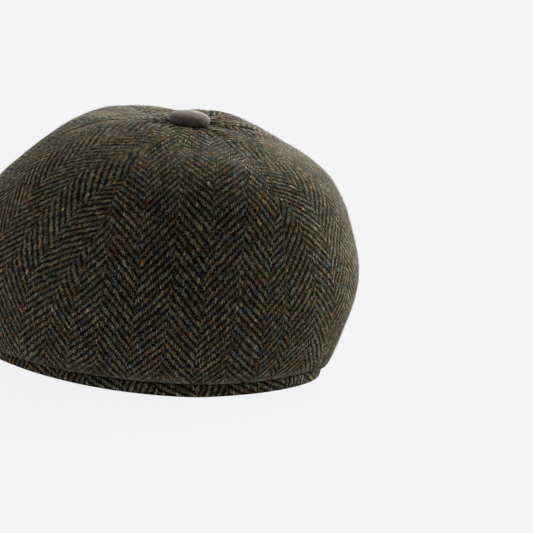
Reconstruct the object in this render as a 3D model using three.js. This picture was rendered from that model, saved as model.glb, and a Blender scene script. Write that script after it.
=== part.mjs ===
// Baker-boy cap in herringbone tweed: six crown gores that meet under a covered
// button, a narrow band round the head opening, and a stiff peak at the front.
// Millimetres, +Z up. The cap rests on a flat surface at z = 0, on the back of its
// band and on the lower edge of its peak, so its front is raised by REST_TILT.
// +Y is the back of the head, -Y the peak, +X the wearer's left.
import * as THREE from 'three';

// ---- driving dimensions, mm and degrees ----
const RIM_HALF_LENGTH = 102;   // head opening, outside of the band, centre to back
const RIM_HALF_WIDTH = 85;     // head opening, outside of the band, centre to side
const BAND_THICKNESS = 3.0;    // folded double cloth
const BAND_EDGE = 0.7;         // easing of the band's lower edges
const CLOTH = 2.0;             // wall of the crown, tweed and its backing
const GAP = 0.3;               // clearance between neighbouring pieces
const HEM_LIFT = 0.7;          // crown hem above the band's upper edge
const REST_TILT = 7.6;         // front of the rim raised, because the peak stands under it
const REST_FLAT = 0.9;         // how much cloth is pressed flat where the cap rests
const SEAM_TURN = 3;           // the seams sit slightly round to the wearer's right
const GORES = 6;
const BUTTON_RADIUS = 10.3;
const BUTTON_RISE = 5.2;
const BUTTON_LEAN = 3;         // the button leans back on the crown
const SHANK_RADIUS = 2.4;
const PEAK_THICKNESS = 3.6;    // card between two layers of cloth
const PEAK_HALF_SPAN = 58;     // half angle of the rim that the peak takes up
const PEAK_TUCK = 1.6;         // how far the peak's root sits in under the band

// Crown levels from the button (run 0) to the hem (run 1), in the cap's own frame,
// with the rim at z = 0. Reach is measured from that level's own centre, nose is the
// extra fullness of the two front gores where they meet, and puff is each gore's own.
const CROWN_LEVELS = [
  { run: 0.00, zBack: 115.2, zSide: 115.2, zFront: 115.2, halfWidth:  0.0, centre: -30.0, back:   0.0, front:   0.0, nose:  0.0, puff: 0.0 },
  { run: 0.12, zBack: 110.6, zSide: 114.2, zFront: 113.2, halfWidth: 26.5, centre: -26.4, back:  33.8, front:  27.0, nose:  1.0, puff: 0.5 },
  { run: 0.25, zBack: 104.0, zSide: 106.2, zFront: 111.4, halfWidth: 51.0, centre: -22.5, back:  61.4, front:  49.0, nose:  5.0, puff: 1.1 },
  { run: 0.40, zBack:  89.9, zSide:  92.3, zFront:  95.4, halfWidth: 71.3, centre: -18.0, back:  86.0, front:  66.4, nose:  7.5, puff: 1.5 },
  { run: 0.55, zBack:  67.2, zSide:  71.0, zFront:  71.4, halfWidth: 85.2, centre: -13.5, back:  97.8, front:  85.0, nose:  9.5, puff: 1.5 },
  { run: 0.70, zBack:  42.8, zSide:  48.2, zFront:  46.8, halfWidth: 94.2, centre:  -9.0, back: 105.0, front: 104.0, nose:  7.5, puff: 1.3 },
  { run: 0.82, zBack:  22.8, zSide:  28.8, zFront:  27.4, halfWidth: 93.6, centre:  -5.4, back: 105.2, front: 115.0, nose:  4.5, puff: 0.9 },
  { run: 0.91, zBack:  12.0, zSide:  13.0, zFront:  13.0, halfWidth: 91.6, centre:  -2.4, back: 103.2, front: 113.6, nose:  2.0, puff: 0.5 },
  { run: 0.96, zBack:   8.2, zSide:   6.2, zFront:   7.4, halfWidth: 88.8, centre:  -1.2, back: 101.8, front: 108.4, nose:  0.5, puff: 0.2 },
  { run: 1.00, zBack:   6.6, zSide:   5.4, zFront:   5.8, halfWidth: 84.6, centre:   0.0, back: 101.6, front: 101.6, nose:  0.0, puff: 0.0 },
];
const CROWN_KEYS = ['zBack', 'zSide', 'zFront', 'halfWidth', 'centre', 'back', 'front', 'nose', 'puff'];
const CROWN_RUNS = [0.018, 0.045, 0.08, 0.13, 0.19, 0.26, 0.34, 0.42, 0.5, 0.58, 0.66, 0.74, 0.81, 0.87, 0.92, 0.96, 1.0];
const CROWN_STEPS_ACROSS = 8;

// Peak outline: share of the half span, and how far the peak reaches out there.
const PEAK_OUTLINE = [
  { share: 0.00, reach: 50.0 },
  { share: 0.25, reach: 49.2 },
  { share: 0.50, reach: 45.5 },
  { share: 0.70, reach: 37.5 },
  { share: 0.85, reach: 25.5 },
  { share: 0.95, reach: 12.5 },
  { share: 1.00, reach:  4.0 },
];
const PEAK_STEPS_ACROSS = 28;
const PEAK_STEPS_OUT = 6;
const BAND_STEPS = 72;

const rad = (degrees) => degrees * Math.PI / 180;

// ---- smooth interpolation of a table's column ----
function columnAt(table, knot, key, x) {
  const n = table.length;
  let i = 0;
  while (i < n - 2 && x >= table[i + 1][knot]) i++;
  const span = (k) => table[k + 1][knot] - table[k][knot];
  const rise = (k) => (table[k + 1][key] - table[k][key]) / span(k);
  const inner = (k) => (rise(k - 1) * span(k) + rise(k) * span(k - 1)) / (span(k - 1) + span(k));
  const slope = (k) => {
    if (k === 0) return key.startsWith('z') ? 0 : rise(0) * 1.5 - inner(1) * 0.5;
    if (k === n - 1) return rise(n - 2) * 1.5 - inner(n - 2) * 0.5;
    return inner(k);
  };
  const h = span(i);
  const s = (x - table[i][knot]) / h;
  const s2 = s * s, s3 = s2 * s;
  return (2 * s3 - 3 * s2 + 1) * table[i][key] + (s3 - 2 * s2 + s) * h * slope(i)
    + (3 * s2 - 2 * s3) * table[i + 1][key] + (s3 - s2) * h * slope(i + 1);
}

// ---- the cap's own frame: x forward, y to the wearer's right, z up from the rim ----
// angle is measured round the head from the centre back, positive to the right.
function heightBlend(q, cosine) {
  return q.zSide + (q.zBack - q.zFront) / 2 * cosine
    + ((q.zBack + q.zFront) / 2 - q.zSide) * cosine * cosine;
}

function crownSmooth(run, angle) {
  const q = {};
  for (const key of CROWN_KEYS) q[key] = columnAt(CROWN_LEVELS, 'run', key, run);
  const c = Math.cos(angle), s = Math.sin(angle);
  const reach = c > 0 ? q.back : q.front;
  const nose = c < 0 ? q.nose * Math.pow(c, 4) : 0;
  return { point: new THREE.Vector3(q.centre - reach * c + nose, q.halfWidth * s, heightBlend(q, c)), puff: q.puff };
}

function crownNormal(run, angle) {
  const e = 1e-3;
  const r = Math.max(run, 0.012);
  const lo = Math.max(r - e, 0), hi = Math.min(r + e, 1);
  const along = crownSmooth(hi, angle).point.sub(crownSmooth(lo, angle).point);
  const across = crownSmooth(r, angle + e).point.sub(crownSmooth(r, angle - e).point);
  return across.cross(along).normalize();
}

// Outside of the crown: each gore is fuller in its middle than at its seams.
function crownOuter(run, angle, share) {
  const { point, puff } = crownSmooth(run, angle);
  const fullness = 1 - Math.pow(Math.abs(2 * share - 1), 2.2);
  return point.addScaledVector(crownNormal(run, angle), puff * (fullness - 0.55));
}

function rimPoint(angle, inset) {
  return new THREE.Vector2(-(RIM_HALF_LENGTH - inset) * Math.cos(angle), (RIM_HALF_WIDTH - inset) * Math.sin(angle));
}

function hemHeight(angle) {
  return heightBlend(CROWN_LEVELS[CROWN_LEVELS.length - 1], Math.cos(angle));
}

// ---- from the cap's own frame to the resting frame ----
const TILT = rad(REST_TILT);
const LIFT = RIM_HALF_LENGTH * Math.sin(TILT) - REST_FLAT;
let centreY = 0;

function toRest(p, flatten = true) {
  const forward = p.x * Math.cos(TILT) - p.z * Math.sin(TILT);
  let up = p.x * Math.sin(TILT) + p.z * Math.cos(TILT) + LIFT;
  if (flatten && up < 0) up = 0;
  return new THREE.Vector3(-p.y, -forward - centreY, up);
}

// ---- closed meshes ----
function solid(points, triangles) {
  let volume = 0;
  for (const [a, b, c] of triangles) {
    volume += points[a].dot(points[b].clone().cross(points[c])) / 6;
  }
  const geometry = new THREE.BufferGeometry();
  geometry.setAttribute('position', new THREE.Float32BufferAttribute(points.flatMap((p) => [p.x, p.y, p.z]), 3));
  geometry.setIndex(triangles.flatMap(([a, b, c]) => (volume > 0 ? [a, b, c] : [a, c, b])));
  geometry.computeVertexNormals();
  return geometry;
}

// Two grids of the same size, front and back, joined all round their edge.
function sheetSolid(front, back) {
  const rows = front.length, cols = front[0].length;
  const points = [...front.flat(), ...back.flat()];
  const f = (i, j) => i * cols + j;
  const b = (i, j) => rows * cols + i * cols + j;
  const triangles = [];
  const quad = (p, q, r, s) => triangles.push([p, q, r], [p, r, s]);
  for (let i = 0; i < rows - 1; i++) {
    for (let j = 0; j < cols - 1; j++) {
      quad(f(i, j), f(i + 1, j), f(i + 1, j + 1), f(i, j + 1));
      quad(b(i, j), b(i, j + 1), b(i + 1, j + 1), b(i + 1, j));
    }
    quad(f(i + 1, 0), f(i, 0), b(i, 0), b(i + 1, 0));
    quad(f(i, cols - 1), f(i + 1, cols - 1), b(i + 1, cols - 1), b(i, cols - 1));
  }
  for (let j = 0; j < cols - 1; j++) {
    quad(f(0, j), f(0, j + 1), b(0, j + 1), b(0, j));
    quad(f(rows - 1, j + 1), f(rows - 1, j), b(rows - 1, j), b(rows - 1, j + 1));
  }
  return solid(points, triangles);
}

// Sections of the same number of points, joined in order; a ring closes on itself.
function loftSolid(sections, ring) {
  const n = sections.length, m = sections[0].length;
  const points = sections.flat();
  const id = (i, j) => (i % n) * m + (j % m);
  const triangles = [];
  for (let i = 0; i < (ring ? n : n - 1); i++) {
    for (let j = 0; j < m; j++) {
      triangles.push([id(i, j), id(i + 1, j), id(i + 1, j + 1)], [id(i, j), id(i + 1, j + 1), id(i, j + 1)]);
    }
  }
  if (!ring) {
    for (let j = 1; j < m - 1; j++) {
      triangles.push([id(0, 0), id(0, j), id(0, j + 1)], [id(n - 1, 0), id(n - 1, j + 1), id(n - 1, j)]);
    }
  }
  return solid(points, triangles);
}

// ---- peak ----
function peakReach(share) {
  return columnAt(PEAK_OUTLINE, 'share', 'reach', Math.abs(share));
}

function peakPoint(share, out, slope, depth) {
  const angle = Math.PI + rad(PEAK_HALF_SPAN) * share;
  const root = rimPoint(angle, PEAK_TUCK);
  const normal = new THREE.Vector2(-Math.cos(angle) / RIM_HALF_LENGTH, Math.sin(angle) / RIM_HALF_WIDTH).normalize();
  const away = normal.lerp(new THREE.Vector2(1, 0), 0.35).normalize();
  const reach = peakReach(share) * out;
  // the slope steepens a little towards the edge, so the peak is slightly domed
  const fall = reach * Math.tan(slope) * (0.86 + 0.14 * out);
  return new THREE.Vector3(root.x + away.x * reach, root.y + away.y * reach, -GAP - fall - depth);
}

// One section of the peak: over the top, round its edge, and back under it.
function peakSection(share, slope) {
  const section = [];
  for (let j = 0; j <= PEAK_STEPS_OUT; j++) section.push(peakPoint(share, 0.955 * j / PEAK_STEPS_OUT, slope, 0));
  section.push(peakPoint(share, 0.99, slope, PEAK_THICKNESS * 0.22));
  section.push(peakPoint(share, 1.0, slope, PEAK_THICKNESS * 0.5));
  section.push(peakPoint(share, 0.99, slope, PEAK_THICKNESS * 0.8));
  for (let j = PEAK_STEPS_OUT; j >= 0; j--) section.push(peakPoint(share, 0.955 * j / PEAK_STEPS_OUT, slope, PEAK_THICKNESS));
  return section;
}

function peakShares() {
  const shares = [];
  for (let i = 0; i <= PEAK_STEPS_ACROSS; i++) {
    const x = 2 * i / PEAK_STEPS_ACROSS - 1;
    shares.push(Math.sign(x) * Math.pow(Math.abs(x), 0.82));
  }
  return shares;
}

// The slope at which the peak's lower edge is pressed on the surface as the band is.
function peakRestSlope() {
  let low = rad(10), high = rad(60);
  for (let k = 0; k < 40; k++) {
    const slope = (low + high) / 2;
    let lowest = Infinity;
    for (const share of peakShares()) {
      for (const p of peakSection(share, slope)) lowest = Math.min(lowest, toRest(p, false).z);
    }
    if (lowest > -REST_FLAT) low = slope; else high = slope;
  }
  return (low + high) / 2;
}
const PEAK_SLOPE = peakRestSlope();

// ---- centre of the whole cap's length, so that the origin is under its middle ----
{
  let low = Infinity, high = -Infinity;
  const note = (p) => { const y = toRest(p).y; low = Math.min(low, y); high = Math.max(high, y); };
  for (const share of peakShares()) peakSection(share, PEAK_SLOPE).forEach(note);
  for (const run of CROWN_RUNS) {
    for (let k = 0; k < GORES * CROWN_STEPS_ACROSS; k++) {
      const angle = rad(SEAM_TURN) + 2 * Math.PI * k / (GORES * CROWN_STEPS_ACROSS);
      note(crownOuter(run, angle, (k % CROWN_STEPS_ACROSS) / CROWN_STEPS_ACROSS));
    }
  }
  centreY = (low + high) / 2;
}

// ---- crown gores ----
function goreGeometry(index) {
  const from = rad(SEAM_TURN + index * 360 / GORES), to = rad(SEAM_TURN + (index + 1) * 360 / GORES);
  const front = [], back = [];
  for (const run of CROWN_RUNS) {
    const frontRow = [], backRow = [];
    for (let j = 0; j <= CROWN_STEPS_ACROSS; j++) {
      const share = j / CROWN_STEPS_ACROSS;
      let angle = from + (to - from) * share;
      const e = 1e-3;
      const perRadian = crownSmooth(run, angle + e).point.distanceTo(crownSmooth(run, angle - e).point) / (2 * e);
      if (j === 0) angle += GAP / 2 / perRadian;
      if (j === CROWN_STEPS_ACROSS) angle -= GAP / 2 / perRadian;
      const outside = crownOuter(run, angle, share);
      frontRow.push(toRest(outside));
      backRow.push(toRest(outside.clone().addScaledVector(crownNormal(run, angle), -CLOTH)));
    }
    front.push(frontRow);
    back.push(backRow);
  }
  return sheetSolid(front, back);
}

// ---- band: a low upright ring under the crown's hem ----
function bandGeometry() {
  const sections = [];
  for (let k = 0; k < BAND_STEPS; k++) {
    const angle = 2 * Math.PI * k / BAND_STEPS;
    const top = hemHeight(angle) - HEM_LIFT;
    const corners = [
      [0, top], [0, BAND_EDGE], [BAND_EDGE, 0],
      [BAND_THICKNESS - BAND_EDGE, 0], [BAND_THICKNESS, BAND_EDGE], [BAND_THICKNESS, top],
    ];
    sections.push(corners.map(([inset, z]) => {
      const r = rimPoint(angle, inset);
      return toRest(new THREE.Vector3(r.x, r.y, z));
    }));
  }
  return loftSolid(sections, true);
}

// ---- button: a covered dome with a short shank through the crown ----
function buttonGeometry() {
  const profile = [
    [0, -2.6], [SHANK_RADIUS, -2.6], [SHANK_RADIUS, 0], [BUTTON_RADIUS - 1.2, 0],
    [BUTTON_RADIUS - 0.3, 0.5], [BUTTON_RADIUS, 1.4], [BUTTON_RADIUS * 0.94, 2.7],
    [BUTTON_RADIUS * 0.78, 3.9], [BUTTON_RADIUS * 0.55, 4.7], [BUTTON_RADIUS * 0.28, 5.1], [0, BUTTON_RISE],
  ].map(([r, z]) => new THREE.Vector2(r, z));
  const segments = 28;
  const points = [], triangles = [];
  const apex = CROWN_LEVELS[0];
  const lean = rad(BUTTON_LEAN);
  const place = (r, z, a) => {
    const x = r * Math.cos(a), y = r * Math.sin(a);
    return toRest(new THREE.Vector3(apex.centre + x * Math.cos(lean) - z * Math.sin(lean), y,
      apex.zSide + GAP + 0.1 + x * Math.sin(lean) + z * Math.cos(lean)));
  };
  const rings = profile.map((p) => {
    if (p.x === 0) { points.push(place(0, p.y, 0)); return [points.length - 1]; }
    const ring = [];
    for (let k = 0; k < segments; k++) { points.push(place(p.x, p.y, 2 * Math.PI * k / segments)); ring.push(points.length - 1); }
    return ring;
  });
  for (let i = 0; i < rings.length - 1; i++) {
    const a = rings[i], b = rings[i + 1];
    for (let k = 0; k < segments; k++) {
      const n = (k + 1) % segments;
      if (a.length === 1) triangles.push([a[0], b[n], b[k]]);
      else if (b.length === 1) triangles.push([a[k], a[n], b[0]]);
      else triangles.push([a[k], a[n], b[n]], [a[k], b[n], b[k]]);
    }
  }
  return solid(points, triangles);
}

// ---- scene graph ----
const tweed = (color) => new THREE.MeshStandardMaterial({ color, roughness: 0.95, metalness: 0 });
const GORE_NAMES = {
  '-3': 'crown_gore_front_left', '-2': 'crown_gore_side_left', '-1': 'crown_gore_back_left',
  '0': 'crown_gore_back_right', '1': 'crown_gore_side_right', '2': 'crown_gore_front_right',
};

const cap = new THREE.Group();
const crown = new THREE.Group();
for (let index = -GORES / 2; index < GORES / 2; index++) {
  const gore = new THREE.Mesh(goreGeometry(index), tweed(index % 2 ? 0x33312a : 0x3a382c));
  gore.name = GORE_NAMES[index];
  crown.add(gore);
}
cap.add(crown);

const band = new THREE.Mesh(bandGeometry(), tweed(0x27261d));
band.name = 'band';
cap.add(band);

const peak = new THREE.Mesh(loftSolid(peakShares().map((share) => peakSection(share, PEAK_SLOPE).map((p) => toRest(p))), false), tweed(0x36342a));
peak.name = 'peak';
cap.add(peak);

const button = new THREE.Mesh(buttonGeometry(), new THREE.MeshStandardMaterial({ color: 0x615a53, roughness: 0.9, metalness: 0 }));
button.name = 'button';
cap.add(button);

export default cap;
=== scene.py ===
"""Looks of the herringbone tweed baker-boy cap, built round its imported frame.

Lengths in the tables are millimetres in the cap's own frame (x forward, y to the
wearer's right, z up from the rim) and turn into metres in the resting frame.
"""

import math

import bpy
import numpy as np
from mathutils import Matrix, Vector


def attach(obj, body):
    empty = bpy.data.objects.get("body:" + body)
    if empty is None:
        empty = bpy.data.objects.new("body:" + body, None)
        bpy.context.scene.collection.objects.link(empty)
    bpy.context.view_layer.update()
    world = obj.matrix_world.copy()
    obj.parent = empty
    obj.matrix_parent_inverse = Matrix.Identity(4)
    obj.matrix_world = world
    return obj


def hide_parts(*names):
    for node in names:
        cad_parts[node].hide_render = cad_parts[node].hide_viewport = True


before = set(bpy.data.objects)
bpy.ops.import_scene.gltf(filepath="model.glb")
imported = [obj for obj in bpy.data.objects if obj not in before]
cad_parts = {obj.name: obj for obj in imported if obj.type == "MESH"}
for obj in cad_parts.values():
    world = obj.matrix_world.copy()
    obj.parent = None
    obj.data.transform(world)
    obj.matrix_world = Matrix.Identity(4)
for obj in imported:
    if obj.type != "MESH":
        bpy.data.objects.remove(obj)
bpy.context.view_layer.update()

# ------------------------------------------------------------------ dimensions, mm
RIM_HALF_LENGTH, RIM_HALF_WIDTH = 102.0, 85.0
BAND_THICKNESS = 3.0
CLOTH = 2.0
GAP = 0.3
HEM_LIFT = 0.7
REST_TILT = math.radians(7.6)
REST_FLAT = 0.9
SEAM_TURN = math.radians(3)
GORES = 6
BUTTON_RADIUS, BUTTON_LEAN = 9.7, math.radians(3)
PEAK_THICKNESS = 3.6
PEAK_HALF_SPAN = math.radians(58)
PEAK_TUCK = 1.6

# run from the button (0) to the hem (1); heights above the rim; reaches from centre
CROWN_COLUMNS = ("zBack", "zSide", "zFront", "halfWidth", "centre", "back", "front", "nose", "puff")
CROWN_LEVELS = np.array([
    (0.00, 115.2, 115.2, 115.2, 0.0, -30.0, 0.0, 0.0, 0.0, 0.0),
    (0.12, 110.6, 114.2, 113.2, 26.5, -26.4, 33.8, 27.0, 1.0, 0.5),
    (0.25, 104.0, 106.2, 111.4, 51.0, -22.5, 61.4, 49.0, 5.0, 1.1),
    (0.40, 89.9, 92.3, 95.4, 71.3, -18.0, 86.0, 66.4, 7.5, 1.5),
    (0.55, 67.2, 71.0, 71.4, 85.2, -13.5, 97.8, 85.0, 9.5, 1.5),
    (0.70, 42.8, 48.2, 46.8, 94.2, -9.0, 105.0, 104.0, 7.5, 1.3),
    (0.82, 22.8, 28.8, 27.4, 93.6, -5.4, 105.2, 115.0, 4.5, 0.9),
    (0.91, 12.0, 13.0, 13.0, 91.6, -2.4, 103.2, 113.6, 2.0, 0.5),
    (0.96, 8.2, 6.2, 7.4, 88.8, -1.2, 101.8, 108.4, 0.5, 0.2),
    (1.00, 6.6, 5.4, 5.8, 84.6, 0.0, 101.6, 101.6, 0.0, 0.0),
])
# share of the peak's half span, reach of its edge there
PEAK_OUTLINE = np.array([
    (0.00, 50.0), (0.25, 49.2), (0.50, 45.5), (0.70, 37.5), (0.85, 25.5), (0.95, 12.5), (1.00, 4.0),
])


def smooth_table(table, x, flat_columns=()):
    """Cubic Hermite through a table's rows; flat_columns start with no slope."""
    knots, values = table[:, 0], table[:, 1:]
    x = np.asarray(x, float)
    h = np.diff(knots)[:, None]
    rise = np.diff(values, axis=0) / h
    slope = np.empty_like(values)
    slope[1:-1] = (rise[:-1] * h[1:] + rise[1:] * h[:-1]) / (h[:-1] + h[1:])
    slope[0] = rise[0] * 1.5 - slope[1] * 0.5
    slope[-1] = rise[-1] * 1.5 - slope[-2] * 0.5
    for k in flat_columns:
        slope[0, k] = 0
    i = np.clip(np.searchsorted(knots, x, side="right") - 1, 0, len(knots) - 2)
    hi = (knots[i + 1] - knots[i])
    s = ((x - knots[i]) / hi)[..., None]
    hi = hi[..., None]
    return ((2 * s**3 - 3 * s**2 + 1) * values[i] + (s**3 - 2 * s**2 + s) * hi * slope[i]
            + (3 * s**2 - 2 * s**3) * values[i + 1] + (s**3 - s**2) * hi * slope[i + 1])


def height_blend(back, side, front, cosine):
    return side + (back - front) / 2 * cosine + ((back + front) / 2 - side) * cosine**2


def crown_smooth(run, angle):
    q = smooth_table(CROWN_LEVELS, run, flat_columns=(0, 1, 2))
    back_z, side_z, front_z, half, centre, back, front, nose, puff = (q[..., k] for k in range(9))
    c, s = np.cos(angle), np.sin(angle)
    reach = np.where(c > 0, back, front)
    lead = np.where(c < 0, nose * c**4, 0)
    point = np.stack([centre - reach * c + lead, half * s, height_blend(back_z, side_z, front_z, c)], -1)
    return point, puff


def unit(v):
    return v / np.maximum(np.linalg.norm(v, axis=-1, keepdims=True), 1e-12)


def crown_normal(run, angle):
    e = 1e-3
    run = np.maximum(run, 0.012)
    lo, hi = np.maximum(run - e, 0), np.minimum(run + e, 1)
    along = crown_smooth(hi, angle)[0] - crown_smooth(lo, angle)[0]
    across = crown_smooth(run, angle + e)[0] - crown_smooth(run, angle - e)[0]
    return unit(np.cross(across, along))


def rim_point(angle, inset):
    return np.stack([-(RIM_HALF_LENGTH - inset) * np.cos(angle), (RIM_HALF_WIDTH - inset) * np.sin(angle)], -1)


def hem_height(angle):
    row = CROWN_LEVELS[-1]
    return height_blend(row[1], row[2], row[3], np.cos(angle))


LIFT = RIM_HALF_LENGTH * math.sin(REST_TILT) - REST_FLAT
# how far the rim's centre lies behind the middle of the cap's whole length
RIM_BEHIND = 17.94


def bell(x, middle, width):
    return np.exp(-((x - middle) / width) ** 2)


def to_rest(p):
    """Cap's own frame, mm, to the resting frame, mm."""
    p = np.asarray(p, float)
    forward = p[..., 0] * math.cos(REST_TILT) - p[..., 2] * math.sin(REST_TILT)
    up = p[..., 0] * math.sin(REST_TILT) + p[..., 2] * math.cos(REST_TILT) + LIFT
    # behind the right ear the soft rim drops to the surface and turns in sharply
    angle = np.degrees(np.arctan2(p[..., 1] / RIM_HALF_WIDTH, -p[..., 0] / RIM_HALF_LENGTH))
    height = np.maximum(up, 0)
    pull = 1 - 6.0 / 93 * bell(angle, 64, 20) * bell(height, 0, 13)
    up = up - 2.1 * bell(angle, 37, 15) * bell(height, 0, 20)
    return np.stack([-p[..., 1] * pull, -forward * pull + RIM_BEHIND, np.maximum(up, 0)], -1)


def wave(p, cell, seed, octaves=1):
    """Smooth repeatable undulation, about -1 to 1, of points p (n, 3) in mm."""
    rng = np.random.default_rng(seed)
    total = np.zeros(p.shape[:-1])
    for octave in range(octaves):
        for _ in range(7):
            direction = rng.normal(size=3)
            direction /= np.linalg.norm(direction)
            k = 2 * math.pi / (cell * rng.uniform(0.75, 1.35)) * 2**octave
            total += np.sin((p @ direction) * k + rng.uniform(0, 2 * math.pi)) * 0.5**octave
    return total / 7 * 1.6


# ------------------------------------------------------------------ mesh helpers
def new_object(name, points, faces, uvs=None, extra=None):
    """points in mm in the resting frame; faces as quads or triangles; uvs per corner."""
    mesh = bpy.data.meshes.new(name)
    mesh.from_pydata((np.asarray(points) / 1000).tolist(), [], [list(map(int, f)) for f in faces])
    if uvs is not None:
        mesh.uv_layers.new(name="weave").data.foreach_set("uv", np.concatenate([np.asarray(u).ravel() for u in uvs]).astype(np.float32))
    if extra is not None:
        mesh.uv_layers.new(name="edge").data.foreach_set("uv", np.concatenate([np.asarray(u).ravel() for u in extra]).astype(np.float32))
    mesh.validate()
    mesh.polygons.foreach_set("use_smooth", [True] * len(mesh.polygons))
    mesh.update()
    obj = bpy.data.objects.new(name, mesh)
    bpy.context.scene.collection.objects.link(obj)
    return obj


def grid_quads(rows, cols, base=0, flip=False):
    i, j = np.meshgrid(np.arange(rows - 1), np.arange(cols - 1), indexing="ij")
    a = base + i * cols + j
    quad = np.stack([a, a + cols, a + cols + 1, a + 1], -1).reshape(-1, 4)
    return quad[:, ::-1] if flip else quad


def hairs(front, uv, allowed, count, seed):
    """Loose bent fibres standing on a grid of cloth: points (n, 7, 3) and the uv of each root."""
    rng = np.random.default_rng(seed)
    corner, along, across = front[:-1, :-1], front[1:, :-1] - front[:-1, :-1], front[:-1, 1:] - front[:-1, :-1]
    face = np.cross(along, across)
    area = np.linalg.norm(face, axis=-1) * allowed[:-1, :-1] * allowed[1:, 1:]
    cell = rng.choice(area.size, count, p=area.ravel() / area.sum())
    s, t = rng.uniform(0, 1, (2, count, 1))
    root = corner.reshape(-1, 3)[cell] + along.reshape(-1, 3)[cell] * s + across.reshape(-1, 3)[cell] * t
    normal = unit(face.reshape(-1, 3)[cell])
    inside = front.reshape(-1, 3).mean(0) * np.array([0, 0, 0.5]) + np.array([0, 15.0, 0])
    normal *= np.sign(np.einsum("ij,ij->i", normal, root - inside))[:, None]
    first = unit(along.reshape(-1, 3)[cell])
    second = np.cross(normal, first)
    turn = rng.uniform(0, 2 * math.pi, count)
    bend = turn + rng.normal(0, 0.9, count)
    length = rng.uniform(0.5, 1.5, count)[:, None]
    lean = rng.uniform(0.2, 0.9, count)[:, None]

    def heading(a):
        return first * np.cos(a)[:, None] + second * np.sin(a)[:, None]
    root = root - normal * 0.12
    middle = root + (heading(turn) * 0.5 + normal * lean * 0.5) * length + normal * 0.12
    tip = middle + (heading(bend) * 0.5 + normal * rng.uniform(-0.1, 0.5, count)[:, None]) * length
    side = unit(np.cross(heading(turn), normal))
    up = unit(np.cross(side, middle - root))
    rings = []
    for centre, radius in ((root, 0.05), (middle, 0.038)):
        for k in range(3):
            a = 2 * math.pi * k / 3
            rings.append(centre + (side * math.cos(a) + up * math.sin(a)) * radius)
    where = uv[:-1, :-1].reshape(-1, 2)[cell]
    return np.stack(rings + [tip], 1), where


HAIR_FACES = [(2, 1, 0), (0, 1, 4, 3), (1, 2, 5, 4), (2, 0, 3, 5), (3, 4, 6), (4, 5, 6), (5, 3, 6)]


def shell(name, front, back, uv, extra=None, back_uv=None, loose=None):
    """Two grids of points joined round their edge: a closed piece of cloth, and its loose fibres."""
    rows, cols = front.shape[:2]
    points = np.concatenate([front.reshape(-1, 3), back.reshape(-1, 3)])
    n = rows * cols
    quads = [grid_quads(rows, cols), grid_quads(rows, cols, n, flip=True)]
    f = np.arange(n).reshape(rows, cols)
    b = f + n
    left = np.stack([f[1:, 0], f[:-1, 0], b[:-1, 0], b[1:, 0]], -1)
    right = np.stack([f[:-1, -1], f[1:, -1], b[1:, -1], b[:-1, -1]], -1)
    first = np.stack([f[0, :-1], f[0, 1:], b[0, 1:], b[0, :-1]], -1)
    last = np.stack([f[-1, 1:], f[-1, :-1], b[-1, :-1], b[-1, 1:]], -1)
    faces = np.concatenate(quads + [left, right, first, last])
    volume = np.einsum("ij,ij->i", points[faces[:, 0]], np.cross(points[faces[:, 1]], points[faces[:, 2]])).sum() \
        + np.einsum("ij,ij->i", points[faces[:, 0]], np.cross(points[faces[:, 2]], points[faces[:, 3]])).sum()
    if volume < 0:
        faces = faces[:, ::-1]
    uv_all = np.concatenate([uv.reshape(-1, 2), (uv if back_uv is None else back_uv).reshape(-1, 2)])
    extra_all = None if extra is None else np.concatenate([extra.reshape(-1, 2)] * 2)
    uvs, extras = [uv_all[faces]], [] if extra is None else [extra_all[faces]]
    faces = faces.tolist()
    if loose is not None:
        hair, where = loose
        way = np.einsum("i,i->", np.cross(hair[0, 1] - hair[0, 0], hair[0, 2] - hair[0, 0]), hair[0, 6] - hair[0, 0])
        start = len(points)
        points = np.concatenate([points, hair.reshape(-1, 3)])
        for face in HAIR_FACES:
            face = face if way > 0 else face[::-1]
            faces.extend((start + np.arange(len(hair))[:, None] * 7 + np.array(face)).tolist())
            uvs.append(np.repeat(where[:, None], len(face), 1))
            extras.append(np.full((len(hair), len(face), 2), -9.0))
    return new_object(name, points, faces, uvs, extras or None)


def ring_loft(name, sections, uv, cap_ends=False, ring=True):
    """Sections (n, m, 3), each a closed loop of m points; uv is (n + 1, m + 1, 2)."""
    n, m = sections.shape[:2]
    points = sections.reshape(-1, 3)
    count = n if ring else n - 1
    i, j = np.meshgrid(np.arange(count), np.arange(m), indexing="ij")
    i, j = i.ravel(), j.ravel()
    i2, j2 = (i + 1) % n, (j + 1) % m
    faces = np.stack([i * m + j, i2 * m + j, i2 * m + j2, i * m + j2], -1)
    corner = np.stack([uv[i, j], uv[i + 1, j], uv[i + 1, j + 1], uv[i, j + 1]], 1)
    p = points[faces]
    volume = (np.einsum("ij,ij->i", p[:, 0], np.cross(p[:, 1], p[:, 2])) + np.einsum("ij,ij->i", p[:, 0], np.cross(p[:, 2], p[:, 3]))).sum()
    faces = list(faces)
    corners = list(corner)
    if cap_ends:
        for row, order in ((0, 1), (n - 1, -1)):
            loop = np.arange(m)[::order] + row * m
            faces.append(loop)
            corners.append(uv[row, :m][::order])
    if volume < 0:
        faces = [f[::-1] for f in faces]
        corners = [c[::-1] for c in corners]
    return new_object(name, points, faces, corners)


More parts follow.
